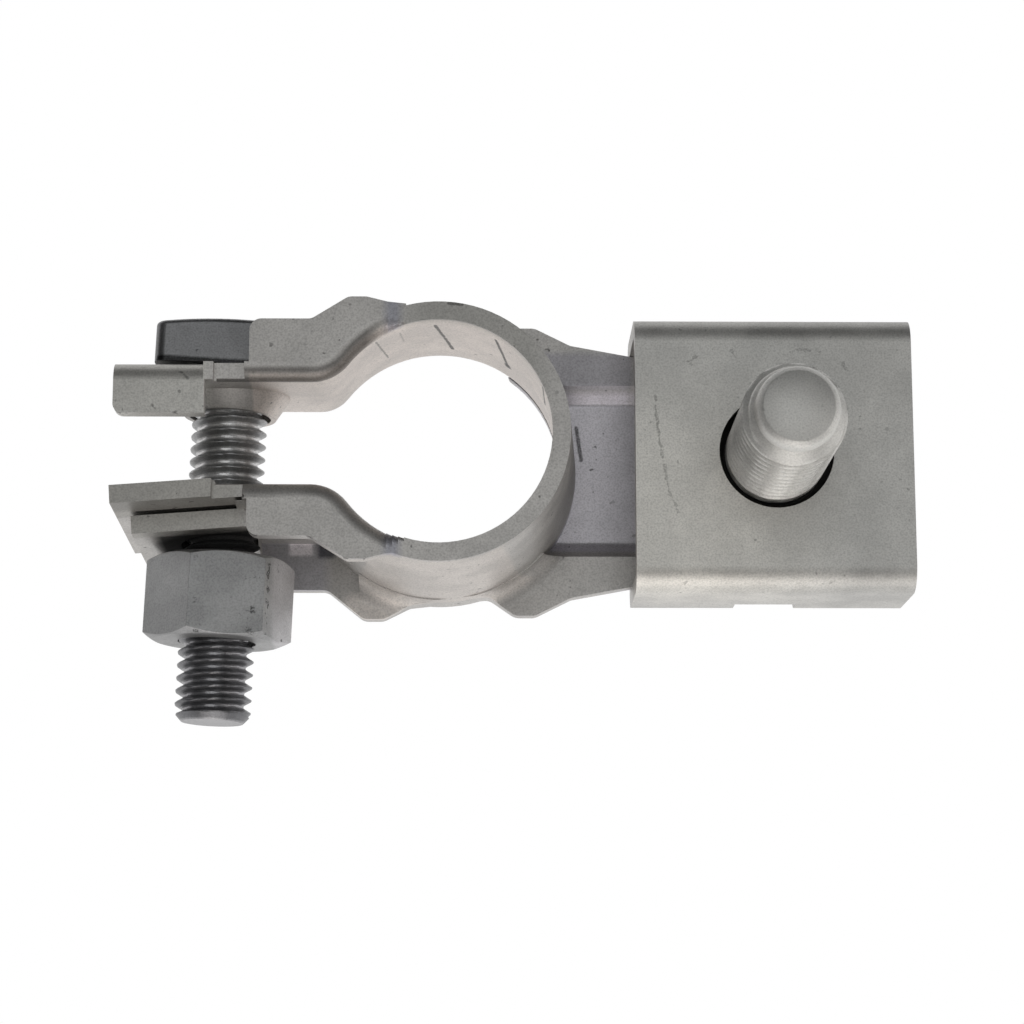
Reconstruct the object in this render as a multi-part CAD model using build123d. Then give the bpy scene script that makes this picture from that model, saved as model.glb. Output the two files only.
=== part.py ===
from build123d import *
import math
import os

# Battery terminal clamp. The origin is on the post's axis at the lowest plane,
# +Z is up along the post and +X points to the stud end. Sizes are in mm.

# The sheet and the collar
sheet = 1.4
height = 17.75
collar_r = 8.65
post_taper = 1 / 9
slot_half = 3.9
neck_r = 3.6
plate_z = 1.5
wall_rise = height - plate_z
draft = wall_rise * post_taper / 2
mouth_r = 2.2
root_r = 1.7
bend_r = 1.3
step_x = -3.9
step_long = 0.45

# The ears
ear_x = -24.8
ear_splay = 4.1
ear_jog = 0.15
splay_x = -17.1
notch_x = -14.75
notch_long = 2.35
notch_deep = 0.7
hem_x0 = ear_x + 1.2
hem_x1 = -14.45
hem_top = 14.6
hem_gap = 0.27
roof_x = ear_x + 0.15
roof_x1 = -17.75
roof_in = 1.3
roof_bend = 1.6
roof_corner = 0.7
eye_r = 4.6
eye_rim_r = 3.6
eye_in = 2.75

# The arms' top flanges, which stand a little further out on the bolt head's side
flange_x = -14.4
flange_half = 8.4
flange_shift = 0.27
flange_foot_x = -9.7
flange_bump_x = -6.3
flange_bump_half = 10.15
flange_end_x = -2.5
flange_end_half = 9.6

# The plate's edge: two small bumps on each side, and the waist between them
bump_x = -5.3
bump_half = 12.15
bump_top = 1.6
bump_x2 = 6.8
bump_half2 = 11.85
bump_slope = 2.9
waist_half = 11.1
waist_half2 = 10.4
shoulder_half = 9.8

# The tail
tail_x = 36.6
tail_half = 9.5
pan_x0 = 2.0
pan_x1 = 34.8
pan_half = 7.05
pan_r = 3.4
pan_slope = 40

# The cover bracket
cover_x0 = 15.35
cover_x1 = 37.15
cover_half = 10.95
cover_top = 10.45
cover_bend = 2.1
cover_hole_r = 4.7
relief_x0 = 23.6
relief_x1 = 28.5
relief_top = 3.1
tab_reach = 2.2

# The stud
stud_x = 26.4
stud_r = 4.0
stud_neck_r = 3.5
stud_tip_z = 26.0
stud_head_af = 12.0
stud_head = 6.6
dog_r = 3.1
dog_long = 1.75

# The clamp bolt and its nut
bolt_x = -16.54
bolt_y = 0.5
bolt_z = 9.6
bolt_tilt = 2.3
bolt_r = 2.95
hole_r = 3.2
head_at = 5.72
head_thick = 3.75
head_crown_r = 40.0
head_wide = 11.6
head_tall = 8.2
bolt_end = -21.8
nut_af = 10.0
nut_thick = 6.5
nut_at = -9.1
nut_turn = 11.2
nut_bore_r = 3.0

# Longer than the part either way, for cuts that pass right through it
far = 3 * height


def outline(grow, z, x_end):
    """The collar's opening and the slot between the arms, grown outwards, as a wire at height z."""
    r = collar_r + grow
    h = slot_half + grow
    c = neck_r - grow
    if c < 0.2:
        c = 0.2
    cx = -math.sqrt((r + c) ** 2 - (h + c) ** 2)
    cy = h + c
    tx = cx * r / (r + c)
    ty = cy * r / (r + c)
    turn = math.atan2(ty - cy, tx - cx)
    half = (turn - math.pi / 2) / 2 if turn > 0 else (turn + math.pi / 2) / 2
    mid = -math.pi / 2 + half
    mx = cx + c * math.cos(mid)
    my = cy + c * math.sin(mid)
    edges = [
        Line((x_end, h, z), (cx, h, z)),
        ThreePointArc((cx, h, z), (mx, my, z), (tx, ty, z)),
        ThreePointArc((tx, ty, z), (r, 0, z), (tx, -ty, z)),
        ThreePointArc((tx, -ty, z), (mx, -my, z), (cx, -h, z)),
        Line((cx, -h, z), (x_end, -h, z)),
        Line((x_end, -h, z), (x_end, h, z)),
    ]
    return Wire(edges)


def tapered(grow, x_end, over=0.0):
    """The opening's outline, grown outwards, as a solid that widens downwards with the post's taper."""
    slope = post_taper / 2
    low = outline(grow + draft + over * slope, plate_z - over, x_end)
    top = outline(grow - over * slope, height + over, x_end)
    return Solid.make_loft([low, top], ruled=True)


def block(x0, x1, y0, y1, z0, z1):
    """A box between two corners."""
    return Pos((x0 + x1) / 2, (y0 + y1) / 2, (z0 + z1) / 2) * Box(x1 - x0, y1 - y0, z1 - z0)


def between(x0, x1):
    """Everything between two planes across the X axis."""
    return block(x0, x1, -far, far, -far, far)


def both_sides(face):
    """A face and its mirror image in the XZ plane."""
    return face + mirror(face, about=Plane.XZ)


def on_opening(edge, grow=0.0):
    """Whether a level edge lies on the outline of the opening, grown outwards."""
    if edge.geom_type == GeomType.LINE:
        return abs(abs(edge.center().Y) - slot_half - grow) < 0.01
    if edge.geom_type == GeomType.CIRCLE:
        return min(abs(edge.radius - collar_r - grow), abs(edge.radius - neck_r + grow)) < 0.01
    return False


# The bolt's axis leans a little in plan, as the loose bolt lies in its holes
bolt_frame = Pos(bolt_x, bolt_y, bolt_z) * Rot(0, 0, -bolt_tilt) * Rot(-90, 0, 0)

# The body: the tapered collar and the arms' walls
outer = tapered(sheet, ear_x)
void = tapered(0, -far, 1)

plate_half = Polygon(
    (flange_x, 0),
    (flange_x, shoulder_half),
    (bump_x - bump_top / 2 - bump_slope, shoulder_half),
    (bump_x - bump_top / 2, bump_half),
    (bump_x + bump_top / 2, bump_half),
    (bump_x + bump_slope, waist_half),
    (bump_x2 - bump_slope, waist_half2),
    (bump_x2 - bump_top / 2, bump_half2),
    (bump_x2 + bump_top / 2, bump_half2),
    (bump_x2 + bump_top / 2 + bump_slope, waist_half2),
    (cover_x0, tail_half),
    (tail_x, tail_half),
    (tail_x, 0),
    align=None,
)
plate_half = fillet(plate_half.vertices().filter_by(lambda v: v.Y > 1), 1.1)
plate = Pos(0, 0, plate_z) * extrude(both_sides(plate_half), sheet, dir=(0, 0, 1))

flange_face = Polygon(
    (flange_x, slot_half - 0.5),
    (flange_x, flange_half),
    (flange_foot_x, flange_half),
    (flange_bump_x - 0.6, flange_bump_half),
    (flange_bump_x + 0.8, flange_bump_half),
    (step_x, flange_end_half + 0.15),
    (flange_end_x, flange_end_half),
    (flange_end_x, slot_half - 0.5),
    align=None,
)
outer_corners = flange_face.vertices().filter_by(lambda v: v.Y > flange_half - 0.1 and v.X < step_x - 0.5)
flange_face = fillet(outer_corners, 0.9)
flange = Pos(0, flange_shift, height - sheet) * extrude(both_sides(flange_face), sheet, dir=(0, 0, 1))

arms = outer & between(splay_x, far)
body = arms + plate + flange - void

# The bend between each arm's wall and its top flange, which fades out in steps at the collar's rim
bent = body & between(step_x + 3 * step_long, far)
for i in range(4):
    start = step_x + (i - 1) * step_long if i else -far
    stretch = body & between(start, step_x + i * step_long)
    rim = stretch.edges().group_by(Axis.Z)[-1]
    rim = rim.filter_by(lambda e: abs(e.center().Z - height) < 0.01 and on_opening(e))
    bent = bent + fillet(rim, bend_r * (4 - i) / 4)
body = bent

# The mouth's drawn edge, as far as the plate goes, and the radius between the collar and the plate
drawn = body & between(flange_x, far)
mouth = drawn.edges().group_by(Axis.Z)[0].filter_by(lambda e: on_opening(e, draft))
body = fillet(mouth, mouth_r) + (body & between(-far, flange_x))
root_x = collar_r + sheet + draft - sheet * post_taper / 2
root = Polygon((root_x - 0.6, 0), (root_x + root_r, 0), (root_x, root_r), (root_x - 0.6, root_r), align=None)
root = root - Pos(root_x + root_r, root_r) * Circle(root_r)
root = revolve(Plane.XZ * Pos(0, plate_z + sheet) * root, Axis.Z)
root = root & between(-0.75 * collar_r, far)
root = root & Pos(0, 0, plate_z) * extrude(both_sides(plate_half), height, dir=(0, 0, 1))
body = body + (root - void)

# The lower ear: its wall, and a doubler turned up from its bottom edge
wall = (outer - void) & between(ear_x, splay_x + 0.2)
hem = tapered(2 * sheet + hem_gap, ear_x) - void
hem = hem & block(hem_x0, hem_x1, -far, 0, plate_z, hem_top)
slit = tapered(sheet + hem_gap, -far) - outer
slit = slit & block(-far, hem_x1 - 0.25, -far, 0, plate_z + sheet, far)
turn = Pos(splay_x, ear_jog - slot_half, 0) * Rot(0, 0, ear_splay) * Pos(-splay_x, slot_half, 0)
body = body + turn * ((wall & block(-far, far, -far, 0, 0, far)) + hem)
body = body - turn * slit

# The upper ear: its wall, whose top is bent inwards over the bolt
roof_out = slot_half + sheet
roof = block(roof_x, roof_x1, roof_in, roof_out, height - sheet, height)
roof = fillet(roof.edges().filter_by(Axis.Z).group_by(Axis.X)[0].group_by(Axis.Y)[0], roof_corner)
ear = (wall & block(roof_x, roof_x1, 0, far, 0, far)) + roof
ear = fillet(ear.edges().group_by(Axis.Z)[-1].filter_by(Axis.X).sort_by(Axis.Y)[-1], roof_bend)
body = body + ear + (wall & block(roof_x1 - 0.1, far, 0, far, 0, far))

# The rim drawn inwards round the bolt's hole
rim_base = slot_half + (height - bolt_z) * post_taper / 2 - bolt_y
rim_face = eye_in - bolt_y
eye = Polygon((0, rim_base + 0.4), (eye_r, rim_base + 0.4), (eye_r, rim_base), (eye_rim_r, rim_face), (0, rim_face), align=None)
body = body + bolt_frame * revolve(Plane.XZ * eye, Axis.Z)

# The tail's pan, which holds the stud's head and runs up to the collar's foot
pan_mid = (pan_x0 + pan_x1) / 2
pan_long = pan_x1 - pan_x0
pan_outside = RectangleRounded(pan_long + sheet, 2 * pan_half + sheet, pan_r + sheet / 2)
pan = extrude(pan_outside, -plate_z, taper=pan_slope)
pan = fillet(pan.edges().group_by(Axis.Z)[0], 0.6)
pan = Pos(pan_mid, 0, plate_z) * (pan + extrude(pan_outside, sheet))
throat_r = collar_r + draft
throat = Polygon((0, -1), (throat_r + plate_z, -1), (throat_r + plate_z, plate_z), (0, plate_z), align=None)
throat = throat - Pos(throat_r + plate_z, plate_z) * Circle(plate_z)
body = body + (pan - void - revolve(Plane.XZ * throat, Axis.Z))
well = extrude(RectangleRounded(pan_long, 2 * pan_half, pan_r), -plate_z, taper=pan_slope)
well = fillet(well.edges().group_by(Axis.Z)[0], 0.5)
well = well + extrude(RectangleRounded(pan_long, 2 * pan_half, pan_r), 2 * sheet)
body = body - (Pos(pan_mid, 0, plate_z + sheet) * well - tapered(sheet, ear_x, 1))

body = body - block(notch_x - notch_long, notch_x, -far, far, height - notch_deep, far)
body = body - bolt_frame * Cylinder(hole_r, far)

# The cover bracket: a bent cover with its legs' ends turned in under the tail
skin = Pos(0, 0, cover_top / 2) * Box(10, 2 * cover_half, cover_top)
inner = Pos(0, 0, cover_top / 2 - sheet) * Box(12, 2 * (cover_half - sheet), cover_top)
skin = fillet(skin.edges().filter_by(Axis.X).group_by(Axis.Z)[-1], cover_bend)
skin = fillet(skin.edges().filter_by(Axis.X).group_by(Axis.Z)[0], sheet)
inner = fillet(inner.edges().filter_by(Axis.X).group_by(Axis.Z)[-1], cover_bend - sheet)
section = (skin - inner).faces().sort_by(Axis.X)[-1]
cover_long = cover_x1 - cover_x0
cover = Pos(cover_x0 - 5, 0, 0) * extrude(section, cover_long)
tab = block(cover_x0, cover_x1, cover_half - tab_reach, cover_half - sheet + 0.1, 0, sheet)
cover = cover + tab + mirror(tab, about=Plane.XZ)
cover = cover - block(relief_x0, relief_x1, -far, far, -far, relief_top)
cover = cover - Pos(stud_x, 0, cover_top) * Cylinder(cover_hole_r, 4 * sheet)

# The stud: a hex-headed screw with its head in the pan and a short dog point
stud = extrude(RegularPolygon(stud_head_af / 2, 6, major_radius=False), stud_head)
stud = Pos(stud_x, 0, sheet) * chamfer(stud.edges().group_by(Axis.Z)[0], 0.65)
turned = Polygon(
    (0, sheet + 1),
    (stud_neck_r, sheet + 1),
    (stud_neck_r, cover_top),
    (stud_r, cover_top),
    (stud_r, stud_tip_z - dog_long - 0.75),
    (dog_r + 0.2, stud_tip_z - dog_long),
    (dog_r, stud_tip_z - 0.4),
    (dog_r - 0.4, stud_tip_z),
    (0, stud_tip_z),
    align=None,
)
stud = stud + Pos(stud_x, 0, 0) * revolve(Plane.XZ * turned, Axis.Z)

# The clamp bolt, with a flat oblong head, and its hexagon nut
head = extrude(RectangleRounded(head_wide, head_tall, 0.9), head_thick)
head = head & Pos(0, 0, head_thick - head_crown_r) * Sphere(head_crown_r)
head = fillet(head.edges().filter_by(lambda e: e.center().Z > 0.7 * head_thick), 0.4)
shank = Pos(0, 0, (bolt_end + head_at + 0.5) / 2) * Cylinder(bolt_r, head_at + 0.5 - bolt_end)
shank = chamfer(shank.edges().group_by(Axis.Z)[0], 0.55)
bolt = bolt_frame * (Pos(0, 0, head_at) * head + shank)

corner_r = nut_af / math.sqrt(3)
blank = Rot(0, 0, nut_turn) * extrude(RegularPolygon(corner_r, 6), nut_thick)
crown = Polygon(
    (0, 0),
    (nut_af / 2 - 0.15, 0),
    (corner_r, 0.45),
    (corner_r, nut_thick - 0.45),
    (nut_af / 2 - 0.15, nut_thick),
    (0, nut_thick),
    align=None,
)
nut = blank & revolve(Plane.XZ * crown, Axis.Z)
nut = nut - Cylinder(nut_bore_r, far)
nut = bolt_frame * Pos(0, 0, nut_at - nut_thick) * nut

os.makedirs("parts", exist_ok=True)
pieces = {
    "terminal_body": body,
    "cover_bracket": cover,
    "stud_bolt": stud,
    "clamp_bolt": bolt,
    "clamp_nut": nut,
}
for name, shape in pieces.items():
    print(name, shape.is_valid, len(shape.solids()), round(shape.volume, 1), shape.bounding_box())
    export_step(shape, f"parts/{name}.step")
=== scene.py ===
import math
import bmesh
import bpy
from mathutils import Matrix, Vector


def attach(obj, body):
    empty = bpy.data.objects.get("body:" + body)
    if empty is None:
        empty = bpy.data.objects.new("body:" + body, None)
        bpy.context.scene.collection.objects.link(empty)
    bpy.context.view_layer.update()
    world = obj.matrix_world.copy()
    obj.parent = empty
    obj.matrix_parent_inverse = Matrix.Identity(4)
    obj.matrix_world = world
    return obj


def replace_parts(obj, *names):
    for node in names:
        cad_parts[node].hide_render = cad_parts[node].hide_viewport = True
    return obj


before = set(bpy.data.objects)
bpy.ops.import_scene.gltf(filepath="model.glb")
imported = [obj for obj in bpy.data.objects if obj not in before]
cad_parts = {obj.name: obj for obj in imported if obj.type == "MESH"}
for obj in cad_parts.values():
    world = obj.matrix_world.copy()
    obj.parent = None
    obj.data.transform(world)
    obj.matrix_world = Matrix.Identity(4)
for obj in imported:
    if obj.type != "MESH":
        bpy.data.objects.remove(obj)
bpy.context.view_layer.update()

mm = 0.001


class Sum:
    # one shader socket, on which Python sums add Math nodes
    def __init__(self, finish, socket):
        self.finish = finish
        self.socket = socket

    def math(self, operation, *values):
        return self.finish.node("ShaderNodeMath", {"operation": operation}, dict(enumerate(values)))

    def __add__(self, other):
        return self.math("ADD", self, other)

    def __radd__(self, other):
        return self.math("ADD", other, self)

    def __sub__(self, other):
        return self.math("SUBTRACT", self, other)

    def __rsub__(self, other):
        return self.math("SUBTRACT", other, self)

    def __mul__(self, other):
        return self.math("MULTIPLY", self, other)

    def __rmul__(self, other):
        return self.math("MULTIPLY", other, self)


class Plating:
    def __init__(self, name):
        self.material = bpy.data.materials.new(name)
        self.material.use_nodes = True
        self.tree = self.material.node_tree
        self.shader = self.tree.nodes["Principled BSDF"]
        self.place = self.node("ShaderNodeTexCoord", {}, {}, "Object")
        self.x, self.y, self.z = self.axes(self.place)

    def feed(self, socket, value):
        if isinstance(value, Sum):
            self.tree.links.new(value.socket, socket)
        elif socket.type == "RGBA":
            socket.default_value = (*value, 1.0)
        else:
            socket.default_value = value

    def node(self, kind, settings, inputs, out=0):
        node = self.tree.nodes.new(kind)
        for name, value in settings.items():
            setattr(node, name, value)
        for name, value in inputs.items():
            self.feed(node.inputs[name], value)
        return Sum(self, node.outputs[out])

    def axes(self, vector):
        return [self.node("ShaderNodeSeparateXYZ", {}, {0: vector}, axis) for axis in "XYZ"]

    def ramp(self, value, low, high):
        # 0 at low and 1 at high, whichever is the larger
        limits = {"Value": value, "From Min": low, "From Max": high}
        return self.node("ShaderNodeMapRange", {"clamp": True}, limits)

    def noise(self, scale, detail):
        look = {"Vector": self.place, "Scale": scale, "Detail": detail}
        return self.node("ShaderNodeTexNoise", {}, look)

    def tinted(self, colour, factor, tint):
        settings = {"data_type": "RGBA", "blend_type": "MULTIPLY"}
        return self.node("ShaderNodeMix", settings, {0: factor, 6: colour, 7: tint}, 2)

    def zone(self, low, high, soft):
        # 1 inside a box in mm, fading out over the soft width
        inside = 1.0
        for value, start, end in zip((self.x, self.y, self.z), low, high):
            inside = inside * self.ramp(value, (start - soft) * mm, (start + soft) * mm)
            inside = inside * self.ramp(value, (end + soft) * mm, (end - soft) * mm)
        return inside

    def vector(self, operation, inputs, out=0):
        return self.node("ShaderNodeVectorMath", {"operation": operation}, inputs, out)

    def gap(self, start, end):
        # the distance from a line between two points in mm
        start, end = Vector(start) * mm, Vector(end) * mm
        along = end - start
        offset = self.vector("SUBTRACT", {0: self.place, 1: start})
        dot = {0: offset, 1: along / along.length_squared}
        share = self.ramp(self.vector("DOT_PRODUCT", dot, "Value"), 0.0, 1.0)
        nearest = self.vector("SCALE", {0: along, "Scale": share})
        return self.vector("DISTANCE", {0: offset, 1: nearest}, "Value")

    def stroke(self, start, end, width, ragged):
        # 1 along such a line, its edges made ragged by the wobble
        gap = self.gap(start, end) + (self.wobble - 0.5) * (ragged * mm)
        return self.ramp(gap, width * mm, 0.5 * width * mm)


# what all the finishes share; scales are Blender's, for metres
surface = {
    "blotchScale": 260.0, "blotchDetail": 3.0, "blotchFrom": 0.62, "blotchTo": 0.38,
    "grainScale": 7000.0, "grainDetail": 3.0, "grainFrom": 0.4, "grainTo": 0.75,
    "wobbleScale": 1900.0, "wobbleDetail": 1.0,
    "pitFrom": 0.715, "pitTo": 0.765, "pitBlotch": (0.4, 0.6), "pitTint": 0.25,
    "roughBlotch": 0.15, "roughGrain": 0.1,
    "paintedShadeTint": 0.15, "paintedShadeRough": 0.5,            # a tint under this is painted shade, which is also made rougher so that it doesn't shine
    "rootFade": 0.05,                                # mm
    "bendSide": (-0.1, -0.35), "bendUp": (0.01, 0.1),             # how far the normal has turned
    "bendLow": (14.5, 15.5), "bendEnd": (-4.3, -5.6),             # mm along Z and X
    "markTint": 0.12, "markGrain": (0.52, 0.35),
    "bumpGrain": 0.5, "bumpBlotch": 0.4, "bumpHeight": 0.014, "bumpStrength": 0.8,
}

# One dictionary for each finish. Zones tint a box (its corners in mm, the fade, the tint), many of them
# painted light and shade;
# strokes are scratches, nicks, and painted shade in the slot and gaps (two points in mm, the width, the
# depth of colour)
finishes = {
    "sheetPlating": {
        "colour": (0.63, 0.61, 0.588), "metal": 0.75, "rough": 0.5,
        "blotch": 0.18, "grain": 0.28, "pits": 0.85, "bendShade": 0.42, "ragged": 0.15,
        "zones": [
            ((6.0, -9.6, -0.5), (37.0, 9.6, 2.3), 0.25, (1.24, 1.24, 1.36)),       # painted light on the tail's pan, lighter and bluer
            ((5.0, 6.0, 2.4), (15.6, 9.8, 3.2), 0.3, (0.78, 0.78, 0.85)),          # painted shade on the tail's far strip, bluer
            ((-4.1, -11.0, 16.9), (-2.9, 11.0, 18.5), 0.35, (0.72, 0.74, 0.84)),   # painted shade on the flanges' ends, bluer
            ((-2.4, -2.0, 17.4), (8.0, 12.0, 18.2), 1.2, (0.52, 0.53, 0.50)),      # painted shade on the rim's far side
            ((-14.9, -13.0, 2.4), (-9.0, -5.5, 3.2), 0.5, (0.86, 0.87, 0.96)),     # painted shade on the plate by the nut
            ((-14.4, 0.0, 3.2), (9.5, 12.0, 17.45), 0.12, (1.45, 1.38, 1.34)),     # painted light on the far wall
            ((-10.0, -12.0, 3.2), (11.0, -8.8, 17.4), 0.12, (1.14, 1.11, 1.09)),   # painted light on the near wall
            ((-7.5, -12.5, 2.4), (-3.2, -10.2, 3.2), 0.4, (1.6, 1.55, 1.52)),      # painted highlight on the plate's bump
            ((9.0, 5.6, 0.5), (15.2, 7.2, 3.0), 0.15, (1.1, 1.1, 1.12)),           # painted light on the pan's far slope
            ((-26.0, 0.5, 13.0), (-17.6, 6.0, 18.5), 0.2, (1.06, 1.07, 1.05)),     # the upper ear's top
            ((-26.0, -9.0, 13.2), (-15.0, -3.0, 18.5), 0.4, (0.78, 0.78, 0.76)),   # the lower ear's edges
            ((-21.7, -9.6, 7.5), (-11.6, -6.0, 13.3), 0.45, (0.12, 0.12, 0.12)),   # painted shadow in the gap over the nut
            ((-12.1, -7.0, 2.6), (-10.2, -5.3, 3.2), 0.15, (2.0, 1.95, 1.93)),     # painted highlight beside it
            ((-9.8, -7.2, 2.6), (-8.4, -5.6, 3.2), 0.2, (0.3, 0.3, 0.33)),         # painted shadow past the painted highlight
        ],
        "strokes": [
            ((-4.84, 7.28, 15.97), (-4.14, 8.24, 7.34), 0.1, 0.6),      # scratches down the bore
            ((-3.04, 8.26, 14.98), (-2.81, 8.55, 11.42), 0.09, 0.35),
            ((-0.33, 8.76, 15.53), (0.99, 9.23, 6.31), 0.17, 0.95),
            ((4.36, 7.61, 15.44), (5.38, 7.46, 7.84), 0.19, 1.0),
            ((5.36, 7.5, 8.2), (5.42, 7.5, 7.4), 0.36, 1.0),
            ((7.93, 3.57, 16.86), (8.25, 3.70, 10.65), 0.19, 0.9),
            ((0.76, 9.91, 17.75), (1.75, 9.84, 17.75), 0.16, 0.7),      # a nick in the rim
            ((10.9, 5.4, 2.9), (11.5, 2.4, 2.9), 0.16, 0.7),            # painted shade in the gap where the pan meets the collar
            ((11.02, 3.9, 1.4), (11.42, 1.2, 1.4), 0.2, 0.85),
            ((-22.9, -5.72, 14.6), (-14.98, -5.13, 14.6), 0.24, 1.0),   # painted shade in the lower ear's slot
            ((-19.9, 4.6, 17.75), (-19.45, 4.45, 17.6), 0.14, 0.5),     # nicks in the upper ear
            ((-19.3, 4.3, 17.75), (-19.0, 3.95, 17.75), 0.16, 0.5),
            ((-18.7, 5.0, 17.75), (-18.35, 4.45, 17.75), 0.14, 0.5),
        ],
    },
    "coverPlating": {
        "colour": (0.67, 0.66, 0.634), "metal": 0.75, "rough": 0.5,
        "blotch": 0.18, "grain": 0.26, "pits": 0.5, "bendShade": 0.0, "ragged": 0.6,
        "zones": [
            ((10.0, -18.0, 7.0), (27.0, 3.0, 12.0), 5.0, (1.45, 1.42, 1.37)),      # painted light on the top's near left
            ((30.0, -12.0, -1.0), (38.0, -10.0, 9.0), 4.0, (0.84, 0.84, 0.84)),    # painted shade on the near side's right
            ((21.6, -4.8, 8.8), (31.2, 4.8, 10.2), 0.15, (0.2, 0.2, 0.2)),         # painted shade inside the stud's hole
        ],
        "strokes": [
            ((16.89, 4.42, 10.45), (17.17, 1.13, 10.45), 0.1, 0.4),     # a long faint arc
            ((17.17, 1.13, 10.45), (17.91, -3.10, 10.45), 0.1, 0.35),
            ((17.91, -3.10, 10.45), (18.59, -4.85, 10.45), 0.08, 0.3),
            ((19.6, 7.2, 10.45), (20.2, 7.6, 10.45), 0.14, 0.35),       # nicks beyond the stud
            ((22.9, 8.1, 10.45), (23.3, 7.6, 10.45), 0.12, 0.3),
            ((28.2, 8.2, 10.45), (30.4, 8.0, 10.45), 0.12, 0.3),
            ((31.7, 7.1, 10.45), (32.1, 6.5, 10.45), 0.14, 0.3),
        ],
    },
    "studPlating": {
        "colour": (0.80, 0.79, 0.76), "metal": 0.75, "rough": 0.55,
        "blotch": 0.14, "grain": 0.2, "pits": 0.3, "bendShade": 0.0, "ragged": 0.0,
        "zones": [
            ((18.0, -8.0, -1.0), (34.0, 8.0, 9.4), 0.4, (0.1, 0.1, 0.1)),          # painted shade on the stud under the cover
        ],
        "strokes": [],
    },
    "boltPlating": {
        "colour": (0.44, 0.44, 0.442), "metal": 0.8, "rough": 0.38,
        "blotch": 0.25, "grain": 0.3, "pits": 0.6, "bendShade": 0.0, "ragged": 0.1,
        # a painted highlight along the thread's roots: the bolt's axis in mm, the roots' radius and their
        # tint
        "roots": ((-16.32, 6.0, 9.6), (-17.40, -20.9, 9.6), 2.5, (1.9, 1.88, 1.86)),
        "zones": [
            ((-25.0, 5.5, 5.0), (-8.0, 12.0, 14.0), 0.3, (0.54, 0.54, 0.55)),      # the head
            ((-25.0, -25.0, 5.0), (-8.0, -12.0, 14.0), 1.0, (0.5, 0.5, 0.52)),     # past the nut
            ((-25.0, -9.4, 5.0), (-8.0, -6.2, 14.0), 0.8, (0.14, 0.14, 0.14)),     # painted shadow in the gap over the nut
        ],
        "strokes": [
            ((-22.6, 6.6, 13.7), (-14.6, 6.1, 13.7), 0.42, 1.0),        # painted shadow along the head's inner edge, in the gap to the ear
        ],
    },
    "nutPlating": {
        "colour": (0.47, 0.47, 0.472), "metal": 0.75, "rough": 0.5,
        "blotch": 0.24, "grain": 0.26, "pits": 0.9, "bendShade": 0.0, "ragged": 1.0,
        "zones": [
            ((-12.75, -16.0, 5.0), (-10.0, -7.0, 14.0), 0.15, (1.4, 1.38, 1.4)),   # painted light on the nut's right side
        ],
        "strokes": [
            ((-18.49, -8.71, 14.6), (-18.35, -15.01, 14.6), 0.24, 0.75),           # down two corners
            ((-12.9, -9.6, 13.4), (-12.8, -15.4, 13.4), 0.28, 0.85),
            ((-14.3, -13.2, 14.0), (-14.3, -13.7, 14.0), 0.22, 0.8),               # two nicks
            ((-14.9, -14.6, 14.0), (-14.1, -14.9, 14.0), 0.2, 0.6),
        ],
    },
}


def grey(level):
    return [level] * 3


def plated(name):
    s = finishes[name]
    c = surface
    p = Plating(name)
    blotch = p.noise(c["blotchScale"], c["blotchDetail"])
    grain = p.noise(c["grainScale"], c["grainDetail"])
    p.wobble = p.noise(c["wobbleScale"], c["wobbleDetail"])
    pits = p.ramp(p.wobble, c["pitFrom"], c["pitTo"]) * p.ramp(blotch, *c["pitBlotch"]) * s["pits"]
    colour = p.tinted(s["colour"], p.ramp(blotch, c["blotchFrom"], c["blotchTo"]), grey(1.0 - s["blotch"]))
    colour = p.tinted(colour, p.ramp(grain, c["grainFrom"], c["grainTo"]), grey(1.0 - s["grain"]))
    colour = p.tinted(colour, pits, grey(c["pitTint"]))
    rough = s["rough"] + (blotch - 0.5) * c["roughBlotch"] + (grain - 0.5) * c["roughGrain"]
    for low, high, soft, tint in s["zones"]:
        zone = p.zone(low, high, soft)
        colour = p.tinted(colour, zone, tint)
        # zones this dark are painted shade, and they are made rougher as well
        if max(tint) < c["paintedShadeTint"]:
            rough = rough + zone * c["paintedShadeRough"]
    # painted highlight along the bolt thread's roots
    if "roots" in s:
        start, end, radius, tint = s["roots"]
        outer, inner = (radius + c["rootFade"]) * mm, (radius - c["rootFade"]) * mm
        colour = p.tinted(colour, p.ramp(p.gap(start, end), outer, inner), tint)
    if s["bendShade"]:
        # painted shade along the bend over each arm, where the normal turns from the wall to the top
        normal = p.node("ShaderNodeTexCoord", {}, {}, "Normal")
        side, up = p.axes(normal)[1:]
        bend = p.ramp(side, *c["bendSide"]) * p.ramp(up * (1.0 - up), *c["bendUp"])
        bend = bend * p.ramp(p.z, *[z * mm for z in c["bendLow"]])
        bend = bend * p.ramp(p.x, *[x * mm for x in c["bendEnd"]])
        colour = p.tinted(colour, bend, grey(s["bendShade"]))
    height = grain * c["bumpGrain"] + blotch * c["bumpBlotch"] - pits
    for start, end, width, depth in s["strokes"]:
        broken = 1.0 - s["ragged"] * p.ramp(grain, *c["markGrain"])
        mark = p.stroke(start, end, width, s["ragged"]) * broken * depth
        colour = p.tinted(colour, mark, grey(c["markTint"]))
        height = height - mark
    p.feed(p.shader.inputs["Base Color"], colour)
    p.feed(p.shader.inputs["Roughness"], rough)
    p.feed(p.shader.inputs["Metallic"], s["metal"])
    bump = {"Height": height, "Distance": c["bumpHeight"] * mm, "Strength": c["bumpStrength"]}
    p.feed(p.shader.inputs["Normal"], p.node("ShaderNodeBump", {}, bump))
    return p.material


materials = {name: plated(name) for name in finishes}
print("finishes made")


cadMesh = {"merge": 0.002, "flat": 0.6}   # mm, degrees


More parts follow.
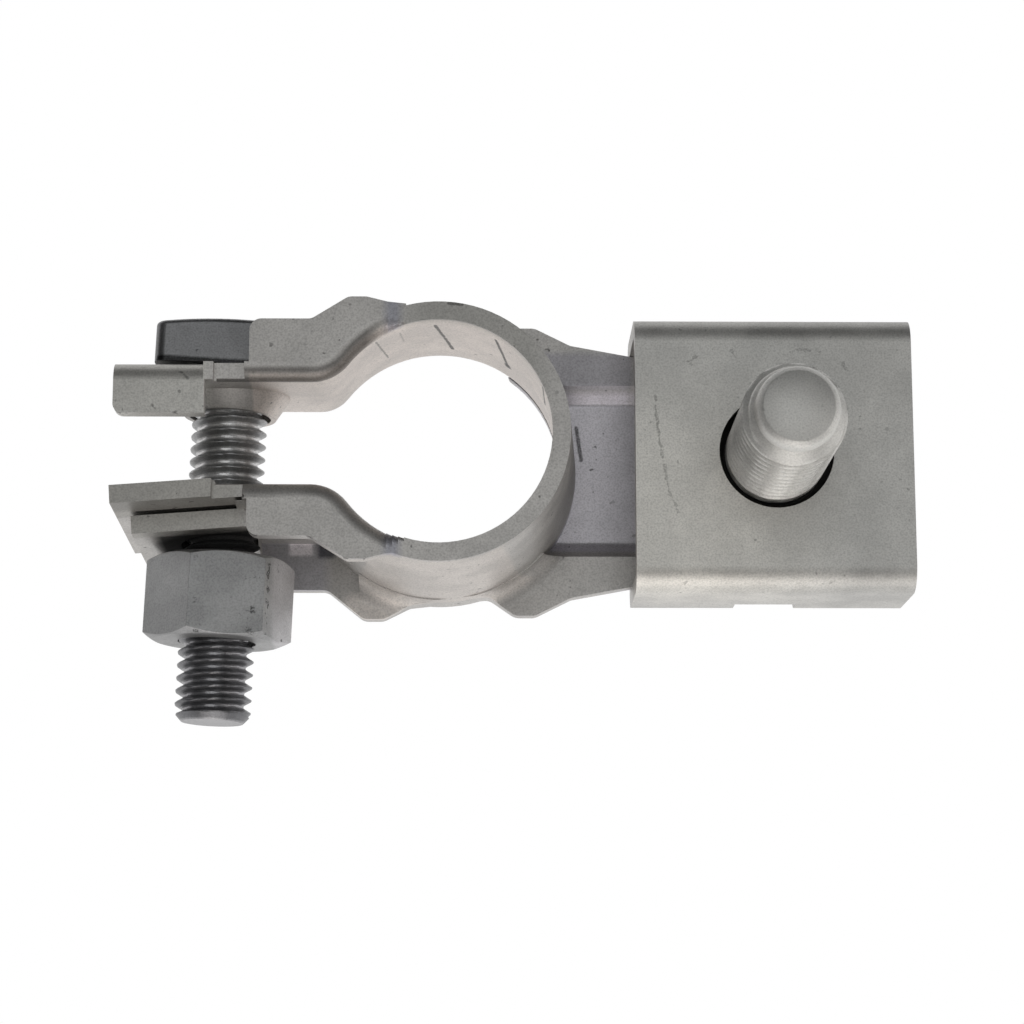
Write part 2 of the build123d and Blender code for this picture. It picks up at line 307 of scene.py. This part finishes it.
def cadCopy(node):
    # a CAD node's mesh, merged, with its flat faces whole again
    bm = bmesh.new()
    bm.from_mesh(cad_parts[node].data)
    bmesh.ops.remove_doubles(bm, verts=bm.verts, dist=cadMesh["merge"] * mm)
    flat = math.radians(cadMesh["flat"])
    bmesh.ops.dissolve_limit(bm, angle_limit=flat, verts=bm.verts, edges=bm.edges, delimit=set())
    return bm


def turns(edge):
    # the angle between an edge's two faces; None for an edge that hasn't two
    return edge.calc_face_angle(0.0) if len(edge.link_faces) == 2 else None


def softenEdges(bm, width, overAngle):
    limit = math.radians(overAngle)
    sharp = [edge for edge in bm.edges if turns(edge) is not None and turns(edge) > limit]
    bmesh.ops.bevel(bm, geom=sharp, offset=width * mm, offset_type="OFFSET", affect="EDGES",
                    segments=2, profile=0.5, material=-1, clamp_overlap=True)


def cutAway(bm, at, along):
    # the part of the mesh past a plane goes, and the cut is closed
    every = bm.verts[:] + bm.edges[:] + bm.faces[:]
    bmesh.ops.bisect_plane(bm, geom=every, plane_co=at, plane_no=along, clear_outer=True)
    bmesh.ops.holes_fill(bm, edges=[e for e in bm.edges if e.is_boundary])


def finishPiece(bm, name, s):
    for face in bm.faces:
        face.smooth = True
    for edge in bm.edges:
        edge.smooth = turns(edge) is not None and turns(edge) < math.radians(s["smoothUnder"])
    mesh = bpy.data.meshes.new(name)
    bm.to_mesh(mesh)
    bm.free()
    mesh.materials.append(materials[s["finish"]])
    piece = bpy.data.objects.new(name, mesh)
    bpy.context.scene.collection.objects.link(piece)
    piece.modifiers.new("evenShading", "WEIGHTED_NORMAL").keep_sharp = True
    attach(piece, s["body"])
    return piece


# The folded body, with softened edges. Widths are in mm and angles in degrees,
# here and in the pieces below
bodyPiece = {
    "edge": 0.11, "edgeOver": 40.0, "smoothUnder": 35.0,
    "finish": "sheetPlating", "slot": "body_plating", "body": "clamp",
}
bm = cadCopy("terminal_body")
softenEdges(bm, bodyPiece["edge"], bodyPiece["edgeOver"])
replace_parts(finishPiece(bm, "terminal_body_dressed", bodyPiece), "terminal_body")
print("terminal body dressed")

# the box cover, whose hole is drawn in a little round the stud
coverPiece = {
    "edge": 0.12, "edgeOver": 40.0, "smoothUnder": 32.0,
    "finish": "coverPlating", "slot": "cover_plating", "body": "clamp",
    "hole": (26.4, 4.7), "holeShown": 4.5,   # its place on X, its radius in CAD and here
    "holeLow": 8.5, "holeReach": 1.01,
}
bm = cadCopy("cover_bracket")
holeAt, holeRadius = coverPiece["hole"]
for vert in bm.verts:
    offset = Vector((vert.co.x - holeAt * mm, vert.co.y))
    reach = coverPiece["holeReach"] * holeRadius * mm
    if vert.co.z > coverPiece["holeLow"] * mm and offset.length < reach:
        offset *= coverPiece["holeShown"] / holeRadius
        vert.co.xy = offset + Vector((holeAt * mm, 0.0))
softenEdges(bm, coverPiece["edge"], coverPiece["edgeOver"])
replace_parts(finishPiece(bm, "cover_bracket_dressed", coverPiece), "cover_bracket")
print("cover bracket dressed")

nutPiece = {
    "edge": 0.12, "edgeOver": 25.0, "smoothUnder": 25.0,
    "finish": "nutPlating", "slot": "nut_plating", "body": "nut",
}
bm = cadCopy("clamp_nut")
softenEdges(bm, nutPiece["edge"], nutPiece["edgeOver"])
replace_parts(finishPiece(bm, "clamp_nut_dressed", nutPiece), "clamp_nut")
print("clamp nut dressed")


# a thread's form: the crest's and the flank's share of half a pitch, then the turns at each end
# over which it gets its depth
thread = {"crest": 0.13, "flank": 0.68, "runIn": 0.6, "runOut": 0.3}


def share(part, whole):
    return min(max(part / whole, 0.0), 1.0)


def threadedRod(s):
    # a profile is spun, then pushed in along a helix; sizes in mm, the rod along Z
    bm = bmesh.new()
    steps = round((s["threadTop"] - s["threadLow"]) / s["pitch"] * s["rings"])
    profile = [(0.0, s["below"][0][1])] + s["below"]
    profile += [(s["major"], s["threadLow"] + i * s["pitch"] / s["rings"]) for i in range(steps + 1)]
    profile += s["above"] + [(0.0, s["above"][-1][1])]
    verts = [bm.verts.new((radius, 0.0, z)) for radius, z in profile]
    edges = [bm.edges.new(pair) for pair in zip(verts, verts[1:])]
    bmesh.ops.spin(bm, geom=verts + edges, cent=(0, 0, 0), axis=(0, 0, 1),
                   angle=2 * math.pi, steps=s["sides"], use_merge=True)
    bmesh.ops.remove_doubles(bm, verts=bm.verts, dist=0.0001)
    bmesh.ops.recalc_face_normals(bm, faces=bm.faces)
    for vert in bm.verts:
        radius = math.hypot(vert.co.x, vert.co.y)
        if radius < s["minor"]:
            continue
        z = vert.co.z
        phase = (z / s["pitch"] - math.atan2(vert.co.y, vert.co.x) / (2 * math.pi)) % 1.0
        flank = min(phase, 1.0 - phase) * 2.0                  # 0 at the crest, 1 at the root
        depth = share(flank - thread["crest"], thread["flank"]) * (s["major"] - s["minor"])
        depth *= share(z - s["threadLow"], thread["runIn"] * s["pitch"])
        depth *= share(s["threadTop"] - z, thread["runOut"] * s["pitch"])
        point = s["major"] - max(0.0, z - s["pointFrom"]) * s["pointSlope"]
        target = min(s["major"] - depth, point)
        if target < radius:
            vert.co.x *= target / radius
            vert.co.y *= target / radius
    return bm


# the stud: a spun and threaded rod over the CAD screw's own head
studPiece = {
    "x": 26.4, "cutAt": 7.0,
    "pitch": 1.25, "major": 3.98, "minor": 3.3, "rings": 12, "sides": 72,
    "threadLow": 7.5, "threadTop": 23.9, "pointFrom": 23.3, "pointSlope": 1.1,
    "below": [(3.5, 6.6), (3.5, 7.1)],
    "above": [(3.3, 24.15), (3.3, 24.3), (3.15, 24.5), (3.1, 25.5),
              (2.95, 25.7), (2.7, 25.93), (2.6, 26.0)],
    "smoothUnder": 40.0, "finish": "studPlating", "slot": "stud_plating", "body": "clamp",
}
bm = threadedRod(studPiece)
studPlace = Matrix.Translation((studPiece["x"] * mm, 0, 0)) @ Matrix.Scale(mm, 4)
bmesh.ops.transform(bm, matrix=studPlace, verts=bm.verts)
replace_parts(finishPiece(bm, "stud_thread", studPiece), "stud_bolt")
bm = cadCopy("stud_bolt")
cutAway(bm, (0, 0, studPiece["cutAt"] * mm), (0, 0, 1))
finishPiece(bm, "stud_head", studPiece)
print("stud threaded")

# the clamp bolt, made along its own axis, which leans a little in plan
boltPiece = {
    "at": (-16.54, 0.5, 9.6), "lean": 2.3, "headAt": 5.71, "edge": 0.15, "edgeOver": 40.0,
    "pitch": 1.0, "major": 2.94, "minor": 2.36, "rings": 12, "sides": 64,
    "threadLow": -5.0, "threadTop": 21.4, "pointFrom": 21.2, "pointSlope": 0.9,
    "below": [(2.94, -6.0), (2.94, -5.4)],
    "above": [(2.45, 21.74), (2.38, 21.8)],
    "smoothUnder": 40.0, "finish": "boltPlating", "slot": "bolt_plating", "body": "clamp",
}
boltFrame = Matrix.Translation(Vector(boltPiece["at"]) * mm)
boltFrame = boltFrame @ Matrix.Rotation(math.radians(-boltPiece["lean"]), 4, "Z")
boltFrame = boltFrame @ Matrix.Rotation(math.radians(90.0), 4, "X")
bm = threadedRod(boltPiece)
bmesh.ops.transform(bm, matrix=boltFrame @ Matrix.Scale(mm, 4), verts=bm.verts)
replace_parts(finishPiece(bm, "clamp_bolt_thread", boltPiece), "clamp_bolt")
bm = cadCopy("clamp_bolt")
headPlane = boltFrame @ Vector((0, 0, -boltPiece["headAt"] * mm))
cutAway(bm, headPlane, boltFrame.to_3x3() @ Vector((0, 0, 1)))
softenEdges(bm, boltPiece["edge"], boltPiece["edgeOver"])
finishPiece(bm, "clamp_bolt_head", boltPiece)
print("clamp bolt threaded")

# the stage: a floor that shows white to the camera and in the metal, and keeps the shadow
stage = {
    "floorSize": 1.5, "floorAt": -0.0002,    # metres
    "floorColour": (0.85, 0.85, 0.85), "floorRough": 0.9, "world": 0.06,
}
floorMaterial = bpy.data.materials.new("whiteFloor")
floorMaterial.use_nodes = True
nodes = floorMaterial.node_tree.nodes
link = floorMaterial.node_tree.links.new
matt = nodes["Principled BSDF"]
matt.inputs["Base Color"].default_value = (*stage["floorColour"], 1.0)
matt.inputs["Roughness"].default_value = stage["floorRough"]
rays = nodes.new("ShaderNodeLightPath")
seen = nodes.new("ShaderNodeMath")
seen.operation = "MAXIMUM"
white = nodes.new("ShaderNodeEmission")
blend = nodes.new("ShaderNodeMixShader")
link(rays.outputs["Is Camera Ray"], seen.inputs[0])
link(rays.outputs["Is Glossy Ray"], seen.inputs[1])
link(seen.outputs[0], blend.inputs[0])
link(matt.outputs[0], blend.inputs[1])
link(white.outputs[0], blend.inputs[2])
link(blend.outputs[0], nodes["Material Output"].inputs["Surface"])
bm = bmesh.new()
bmesh.ops.create_grid(bm, x_segments=1, y_segments=1, size=stage["floorSize"])
mesh = bpy.data.meshes.new("floor")
bm.to_mesh(mesh)
bm.free()
mesh.materials.append(floorMaterial)
floor = bpy.data.objects.new("floor", mesh)
floor.location.z = stage["floorAt"]
bpy.context.scene.collection.objects.link(floor)

world = bpy.context.scene.world or bpy.data.worlds.new("studio")
bpy.context.scene.world = world
world.use_nodes = True
world.node_tree.nodes["Background"].inputs["Color"].default_value = (1.0, 1.0, 1.0, 1.0)
world.node_tree.nodes["Background"].inputs["Strength"].default_value = stage["world"]

lampSize = 0.4
lamps = {
    "frontLow": {"at": (0.0, -0.5, 0.05), "power": 0.7, "colour": (1.0, 0.97, 0.94)},
    "front": {"at": (0.0, -0.45, 0.22), "power": 0.48, "colour": (1.0, 0.97, 0.94)},
    "right": {"at": (0.45, -0.1, 0.18), "power": 0.42, "colour": (1.0, 0.98, 0.96)},
    "top": {"at": (0.0, 0.05, 0.5), "power": 0.52, "colour": (0.98, 1.0, 1.0)},
}
for name, lamp in lamps.items():
    data = bpy.data.lights.new(name, "AREA")
    data.size = lampSize
    data.energy = lamp["power"]
    data.color = lamp["colour"]
    light = bpy.data.objects.new(name, data)
    light.location = lamp["at"]
    light.rotation_euler = (-Vector(lamp["at"])).to_track_quat("-Z", "Y").to_euler()
    bpy.context.scene.collection.objects.link(light)

# the camera, from the photograph's perspective
view = {
    "eye": (2.667, -47.24, 226.29),   # mm
    "aim": (5.561, -6.321, 17.765),
    "focal": 2827.0, "frame": 1024,   # pixels
    "roll": -0.046,                   # degrees
    "sensor": 36.0,                   # mm
    "near": 0.01,                     # metres
}
camera = bpy.data.objects.new("camera", bpy.data.cameras.new("camera"))
camera.data.sensor_width = view["sensor"]
camera.data.lens = view["focal"] / view["frame"] * view["sensor"]
camera.data.clip_start = view["near"]
camera.location = Vector(view["eye"]) * mm
look = (Vector(view["aim"]) - Vector(view["eye"])).normalized()
right = look.cross((0, 1, 0)).normalized()
up = right.cross(look)
turn = Matrix((right, up, -look)).transposed() @ Matrix.Rotation(math.radians(view["roll"]), 3, "Z")
camera.rotation_euler = turn.to_euler()
bpy.context.scene.collection.objects.link(camera)
bpy.context.scene.camera = camera
bpy.context.scene.view_settings.view_transform = "Standard"
print("stage set")
